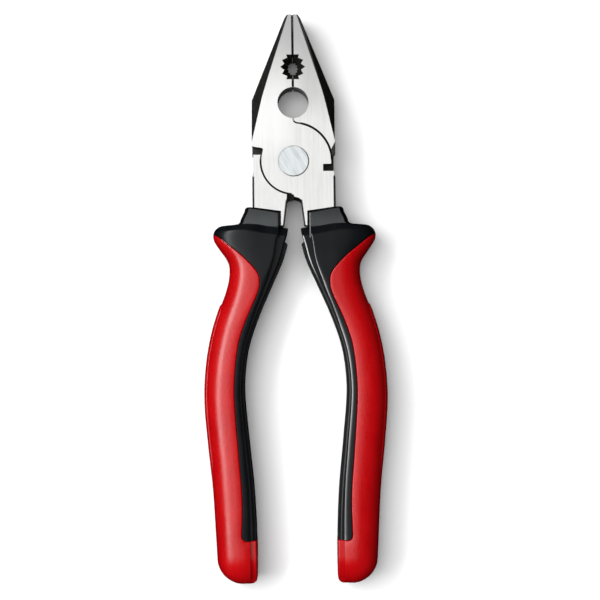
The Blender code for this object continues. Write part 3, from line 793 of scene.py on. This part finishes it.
def jaw_flat(name, side, start, end, depth):
    teeth = 2 * round((end - start) / TOOTH_PITCH)
    sections = []
    for index, place in enumerate(np.linspace(start, end, teeth + 1)):
        crest, back = side * (CREST + depth * (index % 2)), side * FLAT_BACK
        section = [(crest, -FLAT_HALF), (crest, FLAT_HALF), (back, FLAT_HALF), (back, -FLAT_HALF)]
        sections.append([(x, -place, z) for x, z in section])
    flat = loft(name, sections)
    dress(flat, steel)
    return flat


for name, side, body in (("left", -1, "fixed_lever"), ("right", 1, "moving_lever")):
    flats = [
        jaw_flat(f"{name}_teeth", side, *TOOTHED, TOOTH_DEPTH),
        jaw_flat(f"{name}_cutter", side, *CUTTING, 0.0),
    ]
    work_on(levers[name])
    for flat in flats:
        flat.select_set(True)
    bpy.ops.object.join()
    finished(levers[name], body, f"{name}_jaw_lever")

# %% [markdown]
# ## A dark sheet in the joint
#
# A thin black sheet lies between the two layers of the lap joint. It stands in for the shade in the
# gaps round the joint and makes them look black. A ring of vertices is added, extruded outwards and laid
# on the outline of the joint, and a Solidify modifier gives it its few hundredths of a millimetre.

# %% Model the dark sheet in the joint
FILM_INNER = 5.8 * MM
FILM_THICKNESS = 0.06 * MM
FILM_ANGLES = [-180, -175, -172, 0, 5, 8, 82, 86, 94, 98, 172, 175, 180]
FILM_RADII = [12.0, 12.0, 12.0, 12.0, 12.0, 13.7, 13.7, 14.7, 14.7, 13.7, 13.7, 12.0, 12.0]

select_none()
bpy.ops.mesh.primitive_circle_add(vertices=240, radius=FILM_INNER, fill_type="NOTHING", location=PIVOT)
shade_sheet = bpy.context.object
shade_sheet.name = shade_sheet.data.name = "joint_shade_sheet"
bpy.ops.object.transform_apply(location=True, rotation=True, scale=True)
bpy.ops.object.mode_set(mode="EDIT")
bpy.ops.mesh.select_mode(type="EDGE")
bpy.ops.mesh.select_all(action="SELECT")
bpy.ops.mesh.extrude_region_move()
bpy.ops.transform.resize(value=(2.0, 2.0, 1.0), center_override=PIVOT)
bpy.ops.object.mode_set(mode="OBJECT")
for vertex in shade_sheet.data.vertices:
    reach = (vertex.co - PIVOT).xy
    if reach.length > 1.5 * FILM_INNER:
        angle = math.degrees(math.atan2(reach.y, reach.x))
        reach = reach.normalized() * float(np.interp(angle, FILM_ANGLES, FILM_RADII)) * MM
        vertex.co = (PIVOT.x + reach.x, PIVOT.y + reach.y, PIVOT.z)
apply_modifier(shade_sheet, "SOLIDIFY", thickness=FILM_THICKNESS, offset=0.0)
# painted shade: a near-black sheet between the joint's layers darkens the gaps round the joint
joint_shade = Finish("black_shade_sheet")
sheet_grain = joint_shade.noise(joint_shade.place(), scale=2500.0, detail=3.0)
joint_shade.set(
    Base_Color=joint_shade.mix(sheet_grain, (0.003, 0.003, 0.0025), (0.008, 0.007, 0.006)),
    Roughness=0.25 + 0.3 * sheet_grain,
    Normal=joint_shade.bump(sheet_grain, FINE_GRAIN),
)
dress(shade_sheet, joint_shade.material)
finished(shade_sheet, "fixed_lever", None)

# %% [markdown]
# ## Finishes of the grips
#
# All three layers are moulded. The red jacket is a soft rubber with a satin skin: an even red, a very fine
# grain that spreads the highlight, and slightly paler rubbed patches. The black guard is the same kind of
# rubber, blue-black. The flat top of its collar has a painted grey sheen, paler towards the rear, and its
# edges along the inner side are rubbed shiny: there a clear coat reflects more than the rubber does. The
# core is a harder plastic.

# %% Moulded rubber and plastic
COARSE_GRAIN = 0.012 * MM
CORE_GRAIN = 0.006 * MM
COLLAR_SHEEN_GREY = (0.047, 0.051, 0.054)


def coat_and_collar_sheen(finish, colour, cloud):
    """Rub the edges along a guard's inner side shiny, and paint a grey sheen on the top of its collar."""
    x, y, z = finish.parts(finish.place())
    behind = PIVOT.y - y
    facing = finish.facing()
    upright, inward = abs(facing[2]), -1.0 * facing[0] * (x - PIVOT.x).sign()
    polished = finish.step(inward, 0.18, 0.3) * finish.step(upright, 0.8, 0.88)
    recessed = 1.0 - finish.past(abs(z - PIVOT.z), 6.3, 6.5)
    polished = polished * (1.0 - recessed * finish.past(behind, 33.0, 43.0))
    polished = polished * (1.0 - 0.55 * finish.past(behind, 70.0, 115.0))
    finish.set(Coat_Weight=polished, Coat_IOR=1.7, Coat_Roughness=0.12)
    # painted sheen: the flat top of the collar is painted grey, more towards the rear
    collar_sheen = finish.step(upright, 0.955, 0.985) * (1.0 - finish.past(behind, 22.4, 23.2))
    collar_sheen = collar_sheen * (0.55 + 0.45 * finish.past(behind, 17.0, 22.0))
    return finish.mix(collar_sheen * (0.75 + 0.4 * cloud), colour, COLLAR_SHEEN_GREY)


def moulded(name, dark, light, rough, grain, gloss=0.5, coat_and_sheen=False):
    finish = Finish(name)
    cloud = finish.noise(finish.place(), scale=90.0, detail=4.0, roughness=0.6)
    skin = finish.noise(finish.place(), scale=3600.0, detail=2.0)
    rubbed = finish.noise(finish.stretched((260.0, 60.0, 260.0)), detail=5.0, roughness=0.65)
    colour = finish.mix(finish.step(0.6 * cloud + 0.4 * rubbed, 0.36, 0.66), dark, light)
    if coat_and_sheen:
        colour = coat_and_collar_sheen(finish, colour, cloud)
    finish.set(
        Base_Color=colour,
        Specular_IOR_Level=gloss,
        Roughness=rough + 0.08 * finish.step(rubbed, 0.35, 0.7) + 0.05 * skin,
        Normal=finish.bump(skin + 0.6 * rubbed, grain),
    )
    return finish.material


red_rubber = moulded(
    "satin_red_rubber", dark=(0.41, 0.0015, 0.003), light=(0.465, 0.0022, 0.004),
    rough=0.22, grain=COARSE_GRAIN,
)
black_rubber = moulded(
    "blue_black_rubber", dark=(0.0030, 0.0038, 0.0047), light=(0.0052, 0.0063, 0.0075),
    rough=0.26, grain=COARSE_GRAIN, gloss=0.25, coat_and_sheen=True,
)
black_plastic = moulded(
    "hard_black_core", dark=(0.003, 0.0033, 0.0037), light=(0.0052, 0.0056, 0.006),
    rough=0.30, grain=CORE_GRAIN, gloss=0.25,
)
print("finishes:", red_rubber.name, black_rubber.name, black_plastic.name)

# %% [markdown]
# ## Black guard
#
# The guard is the black layer: the flange that keeps the hand off the joint, the long strip on the inner side
# and the collar round the steel. Its strip has a ledge, and below that a slot from which the core's rib
# stands out. The flange and strip are one loft. The collar is a second one whose sections lie along its
# slanting front edge, and the two are joined into one piece.

# %% Loft the flange and the strip
SEAM_GAP = 0.05
BLACK_DIP = 0.2
GLINT = 0.4  # width of the narrow slopes that catch the light
GLINT_SLOPE = 0.38
EDGE_SLOPE, EDGE_TILT = 0.42, 0.06
EDGE_WIDTHS = ([26.0, 34.0, 58.0], [0.45, 0.6, 4.0])
STRIP_SUNK = ([40.0, 58.0], [0.0, 0.45])
SLOT_DEPTH = 1.4
SLOT_GAP = 0.22
SLOT_ROUND = 0.2
LEDGE_ROUND = 0.6
FACE_POINTS = 46
WALL_POINTS = 4


def corner(before, at, after, count=5):
    """Points that round a corner."""
    points = []
    for t in np.linspace(0.0, 1.0, count):
        blend = zip(before, at, after)
        points.append(tuple((1 - t) ** 2 * b + 2 * t * (1 - t) * c + t ** 2 * a for b, c, a in blend))
    return points


def inner_steps(d, slot):
    """The inner side of a grip, from the middle plane up to the face's edge."""
    ledge, face, height = ledge_edge(d), face_edge(d), face_height(d)
    low = height - min(LEDGE_STEP, 0.4 * height)
    if slot:
        rib, back = RIB_HALF + SLOT_GAP, ledge + SLOT_DEPTH
        steps = [(back, 0.0), (back, rib)]
        steps += corner((ledge + SLOT_ROUND, rib), (ledge, rib), (ledge, rib + SLOT_ROUND))
        drop = GLINT_SLOPE * GLINT
    else:
        side, radius = rib_line(d) + inner_corner(d), min(LEDGE_ROUND, 0.5 * low)
        steps = [(side, 0.0)] + corner((side, low - radius), (side, low), (side + radius, low))
        steps += [(ledge - 0.1, low)]
        drop = 0.0
    steps += [(ledge, low - drop), (ledge + GLINT - 0.03, low - 0.08 * drop), (ledge + GLINT, low)]
    return steps + [(ledge + GLINT + 0.04, low), (face - 0.02, low), (face, low + 0.06)]


def face_columns(face, end):
    """Places across a face, with a close pair where the slope along its inner edge ends."""
    edge = min(GLINT, 0.3 * (end - face))
    near = face + np.array([0.0, 0.3, 0.6, 0.94]) * edge
    return np.concatenate([near, face + edge * 1.06 + (end - face - edge * 1.06) * eased(FACE_POINTS)])


def black_section(d):
    end = min(seam_x(d) - SEAM_GAP, outer_side(d))
    face = face_edge(d)
    xs = face_columns(face, end)
    width = min(float(np.interp(d, *EDGE_WIDTHS)), 0.95 * (end - face))
    tops = crown(xs, d) - float(np.interp(d, *STRIP_SUNK))
    tops = tops - dip(-beyond_seam(xs, d) - SEAM_GAP, BLACK_DIP)
    tops = tops - bulge(xs - face, width, EDGE_SLOPE, 3) - EDGE_TILT * np.clip(width - xs + face, 0.0, width)
    tops = np.maximum(tops, 0.0)
    wall = [(end, tops[-1] * share) for share in np.linspace(1.0, 0.0, WALL_POINTS)[1:]]
    return both_faces(inner_steps(d, True) + list(zip(xs, tops)) + wall, d)


def guard_stations():
    """Places of the sections, crowded at the nose and at the strip's end."""
    front = NOSE_ROUND * (1.0 - np.cos(np.linspace(0.0, math.pi / 2, 10)))
    slope = np.linspace(NOSE_ROUND, NOSE_RUN - 0.3, 10)[1:]
    crest = NOSE_RUN + np.array([-0.18, -0.1, -0.05, 0.0, 0.05, 0.1, 0.18, 0.3, 0.5, 0.8])
    nose = GUARD_FRONT + np.concatenate([front, slope, crest])
    middle = np.linspace(nose[-1], CORNER_D, 170)[1:]
    last = CORNER_D + (SEAM_CORNER - SEAM_GAP) * np.sin(np.linspace(0.0, math.pi / 2, 16))[1:]
    return [*nose, *middle, *last]


flange = loft("right_guard", [black_section(d) for d in guard_stations()])
print("flange and strip:", len(flange.data.polygons), "faces")

# %% Loft the collar and join the two
COLLAR_INNER, COLLAR_OUTER = 4.9, 17.4
COLLAR_FRONT, COLLAR_SLANT = 17.65, 2.2
COLLAR_HALF, COLLAR_FALL = 6.5, 0.05
COLLAR_CORNER = 1.8
INNER_CORNER = 0.7
COLLAR_FLARE = 1.45
FILLET_START, FILLET_RADIUS = 5.1, 1.8
COLLAR_LENGTH = 9.3
DRAFT_SLOPE = 2.3
INNER_DRAFT, OUTER_DRAFT, FRONT_DRAFT = 0.45, 1.35, 0.65
COLLAR_GLINT = 0.33
COLLAR_NEAR = np.array([0.0, 0.2, 0.43, 0.47, 0.6, 0.75, 0.79])
COLLAR_FAR = np.array([1.5, 1.39, 1.33, 0.9, 0.45, 0.0])


def draft(distance, width):
    """How far the steep side of the collar has lowered its face at a distance from the edge."""
    return DRAFT_SLOPE * width * np.clip(1.0 - distance / width, 0.0, 1.0)


def collar_side(e):
    """Where the collar's outer side is, at a distance behind its slanting front edge."""
    side = COLLAR_OUTER - drawn_in(COLLAR_CORNER - e, COLLAR_CORNER)
    side += COLLAR_FLARE * np.clip((e - COLLAR_CORNER) / (FILLET_START - COLLAR_CORNER), 0.0, 1.0)
    return side + drawn_in(e - FILLET_START, FILLET_RADIUS)


def collar_section(e):
    outer = collar_side(e)
    inner = COLLAR_INNER + drawn_in(INNER_CORNER - e, INNER_CORNER)
    near, far = inner + COLLAR_NEAR, outer - COLLAR_FAR
    xs = np.concatenate([near, np.linspace(near[-1], far[0], 26)[1:-1], far])
    fronts = COLLAR_FRONT - COLLAR_SLANT * (xs - COLLAR_INNER) / (COLLAR_OUTER - COLLAR_INNER)
    tops = COLLAR_HALF - COLLAR_FALL * (xs - COLLAR_INNER)
    tops = tops - GLINT_SLOPE * np.clip(INNER_DRAFT + COLLAR_GLINT - xs + inner, 0.0, COLLAR_GLINT)
    tops = tops - draft(xs - inner, INNER_DRAFT) - draft(outer - xs, OUTER_DRAFT) - draft(e, FRONT_DRAFT)
    upper = [(xs[0], fronts[0], z) for z in np.linspace(0.0, tops[0], WALL_POINTS)[:-1]]
    upper += list(zip(xs, fronts, tops))
    upper += [(xs[-1], fronts[-1], z) for z in np.linspace(tops[-1], 0.0, WALL_POINTS)[1:]]
    lower = [(x, front, -z) for x, front, z in reversed(upper[1:-1])]
    return [(x, front + e, z) for x, front, z in upper + lower]


collar_places = [*np.linspace(0.0, 0.6, 5), 0.64, 0.68, *np.linspace(0.8, 1.4, 6)]
collar_places += [*np.linspace(1.6, COLLAR_LENGTH, 38)]
collar = loft("collar", [collar_section(e) for e in collar_places])
work_on(flange)
collar.select_set(True)
bpy.ops.object.join()
dress(flange, black_rubber)
print("guard with its collar:", len(flange.data.polygons), "faces")

# %% [markdown]
# ## Core rib
#
# The hard core shows as a thin rib along the inner side of the handle. It is a flat bar that follows a curve,
# so its outline is drawn first: a circle is added with enough vertices, they are moved onto the outline, the
# face is extruded to the core's thickness and its long edges are bevelled.

# %% Model the core
CORE_FRONT = 29.0
CORE_CHAMFER = 1.4
CORE_DEPTH = 3.0
CORE_STATIONS = 80
CORE_EDGE = 0.18 * MM


def core_outline():
    distances = np.linspace(CORE_FRONT, SEAM_END - SEAM_GAP, CORE_STATIONS)
    inner = [(rib_line(CORE_FRONT) + CORE_CHAMFER, CORE_FRONT - CORE_CHAMFER)]
    inner += [(rib_line(d), d) for d in distances]
    outer = [(ledge_edge(d) + CORE_DEPTH, d) for d in reversed(distances)]
    return inner + outer + [(ledge_edge(CORE_FRONT) + CORE_DEPTH, CORE_FRONT - CORE_CHAMFER)]


outline = core_outline()
select_none()
bpy.ops.mesh.primitive_circle_add(vertices=len(outline), radius=0.01, fill_type="NGON")
core = bpy.context.object
core.name = core.data.name = "right_core"
for vertex, (x, d) in zip(core.data.vertices, outline):
    vertex.co = (PIVOT.x + x * MM, PIVOT.y - d * MM, PIVOT.z - RIB_HALF * MM)
bpy.ops.object.mode_set(mode="EDIT")
bpy.ops.mesh.select_all(action="SELECT")
bpy.ops.mesh.extrude_region_move(TRANSFORM_OT_translate={"value": (0.0, 0.0, 2 * RIB_HALF * MM)})
bpy.ops.mesh.select_all(action="SELECT")
bpy.ops.mesh.normals_make_consistent(inside=False)
bpy.ops.object.mode_set(mode="OBJECT")
round_edges(core, CORE_EDGE, 4, 30.0)
smooth(core, 40.0)
flatten_shading(core)
dress(core, black_plastic)
print("core rib:", len(core.data.polygons), "faces")

# %% [markdown]
# ## Red jacket
#
# The jacket wraps the outer side and closes round the end of the handle. It is lofted like the guard, from
# the seam over the outer side and back. Behind the black strip its sections open up to the full grip, with
# one soft ledge on the inner side. Along its outer side the skin lies a little lower, for the raised pad.

# %% Loft the jacket
RED_DIP = 0.35
RED_SLOPE = 0.3
RED_WIDTHS = ([38.0, 56.0], [0.6, 2.6])
END_WIDTH = 5.0
PAD_RISE = 0.38
BED_LEAD, BED_RUN_IN, BED_RUN_OUT, BED_WIDTH = 8.0, 7.5, 12.0, 8.0
NECK = 30.0  # from the front to here the sections lie closer together
JACKET_FRONT = min(d for d in np.arange(25.0, 27.0, 0.01) if seam_x(d) + SEAM_GAP < outer_side(d) - 0.03)


def pad_bed(d):
    """How much lower the jacket lies under the pad, fading in and out."""
    lead = np.clip((d - PAD_START + BED_LEAD) / BED_RUN_IN, 0.0, 1.0)
    return PAD_RISE * gentle(lead * np.clip((PAD_END + 0.5 - d) / BED_RUN_OUT, 0.0, 1.0))


def bedded(xs, d):
    """Places across the jacket, drawn in to make room for the pad."""
    return xs - pad_bed(d) * np.clip((xs - outer_side(d) + BED_WIDTH) / BED_WIDTH, 0.0, 1.0)


def red_section(d):
    steps = inner_steps(d, False)
    outer = outer_side(d)
    at_end = d >= SEAM_END
    start = face_edge(d) if at_end else min(seam_x(d) + SEAM_GAP, outer - 0.02)
    xs = face_columns(start, outer)
    width = min(float(np.interp(d, *RED_WIDTHS)), 0.5 * (outer - start))
    beyond = beyond_seam(xs, d) - SEAM_GAP
    tops = crown(xs, d) - dip(beyond, RED_DIP) - bulge(np.maximum(beyond, 0.0), width, RED_SLOPE)
    if at_end:
        tops = tops - bulge(xs - start, END_WIDTH, RED_SLOPE)
        lowered = dip(d - SEAM_END - SEAM_GAP, RED_DIP)
        steps = [(x + lowered * 0.4, z - lowered * (z > 0.1)) for x, z in steps]
    tops = np.maximum(tops, 0.0)
    if not at_end:
        steps = [(start, tops[0] * share) for share in np.linspace(0.0, 0.97, len(steps))]
    return both_faces(steps + list(zip(bedded(xs, d), tops)), d)


def jacket_stations():
    """Places of the sections, crowded at the front, the strip's end and the handle's end."""
    front = JACKET_FRONT + (NECK - JACKET_FRONT) * np.linspace(0.0, 1.0, 30) ** 1.7
    middle = np.linspace(NECK, CORNER_D, 160)[1:]
    turn = CORNER_D + SEAM_CORNER * np.sin(np.linspace(0.0, math.pi / 2, 16))[1:-1]
    edge = SEAM_END + SEAM_GAP + RED_DIP * (1.0 - np.cos(np.linspace(0.0, math.pi / 2, 8)))
    cap = np.linspace(edge[-1], HANDLE_END - END_OUTER, 8)[1:]
    end = HANDLE_END - END_OUTER + END_OUTER * np.sin(np.linspace(0.0, math.pi / 2, 40))[1:]
    return [*front, *middle, *turn, *edge, *cap, *end]


jacket = loft("right_jacket", [red_section(d) for d in jacket_stations()])
dress(jacket, red_rubber)
print("jacket:", len(jacket.data.polygons), "faces")

# %% [markdown]
# ## Raised pad
#
# Along the outer side of each jacket runs a slightly raised pad, where the palm and the fingers press. From
# above only its front step and a fine line show. It is a thin strip that follows the outer side, lofted like
# the jacket, with its height falling off round the edge.

# %% Loft the pad
PAD_HALF = 3.6
PAD_ROUND = 0.5
PAD_TAPER = 0.72  # how much of its half width the pad loses at its ends
PAD_BACK = 1.2
PAD_SUNK = 0.06


def pad_section(d):
    tip = min(d - PAD_START, PAD_END - d)
    half = PAD_HALF - drawn_in(PAD_HALF - tip, PAD_HALF) * PAD_TAPER
    zs = half * (2.0 * eased(25) - 1.0)
    outer, inner, height = outer_side(d), face_edge(d), face_height(d)
    side = inner + (outer - inner) * (1.0 - (zs / height) ** 2) ** (1.0 / CROWN)
    reach = np.minimum(half - np.abs(zs), tip)
    side = side - PAD_RISE * PAD_SUNK - dip(reach, PAD_ROUND) * PAD_RISE / PAD_ROUND
    back = [(side[index] - PAD_BACK, d, zs[index] * 0.9) for index in (-1, 12, 0)]
    return list(zip(side, np.full_like(side, d), zs)) + back


pad_ends = PAD_ROUND * 2.0 * (1.0 - np.cos(np.linspace(0.0, math.pi / 2, 12)))
pad_places = [
    *(PAD_START + pad_ends), *np.linspace(PAD_START + 1.2, PAD_END - 1.2, 90), *(PAD_END - pad_ends[::-1]),
]
pad = loft("right_side_pad", [pad_section(d) for d in pad_places])
dress(pad, red_rubber)
print("pad:", len(pad.data.polygons), "faces")

# %% [markdown]
# ## The other handle
#
# The second handle is the first one turned over: half a turn about the length of the tool, through the middle
# of the rivet. Each piece is duplicated with a mesh of its own, turned about that line, and the turn is
# applied so that the new object sits at the origin as well.

# %% Copy the handle and hand all pieces over
def turned_copy(piece, name):
    work_on(piece)
    bpy.ops.object.duplicate(linked=False)
    twin = bpy.context.object
    twin.name = twin.data.name = name
    bpy.ops.transform.rotate(value=math.pi, orient_axis="Y", center_override=PIVOT)
    bpy.ops.object.transform_apply(location=True, rotation=True, scale=True)
    return twin


layers = [
    (core, "core", "handle_core", "hard_black_plastic"),
    (flange, "guard", "black_guard", "soft_black_plastic"),
    (jacket, "jacket", "red_grip", "soft_red_rubber"),
    (pad, "side_pad", None, "soft_red_rubber"),
]
for piece, name, node, slot in layers:
    twin = turned_copy(piece, f"left_{name}")
    finished(piece, "fixed_lever", node and f"right_{node}")
    finished(twin, "moving_lever", node and f"left_{node}")

# %% [markdown]
# ## Floor
#
# The pliers lie on a plain white sheet. It is wide enough to fill low views too. In the photograph the sides
# of the tool stay dark, so the sheet neither shows in them nor throws light up at them.

# %% Lay the floor
FLOOR_SIZE = 6.0

floor_finish = Finish("white_sheet")
fibre = floor_finish.noise(floor_finish.place(), scale=700.0, detail=3.0)
floor_finish.set(
    Base_Color=floor_finish.mix(fibre, (0.96, 0.96, 0.96), (0.98, 0.98, 0.98)),
    Roughness=0.8,
)
select_none()
bpy.ops.mesh.primitive_plane_add(size=FLOOR_SIZE, location=(0.0, 0.0, 0.0))
floor = bpy.context.object
floor.name = floor.data.name = "floor"
floor.visible_glossy = False
floor.visible_diffuse = False
dress(floor, floor_finish.material)
print("floor laid")
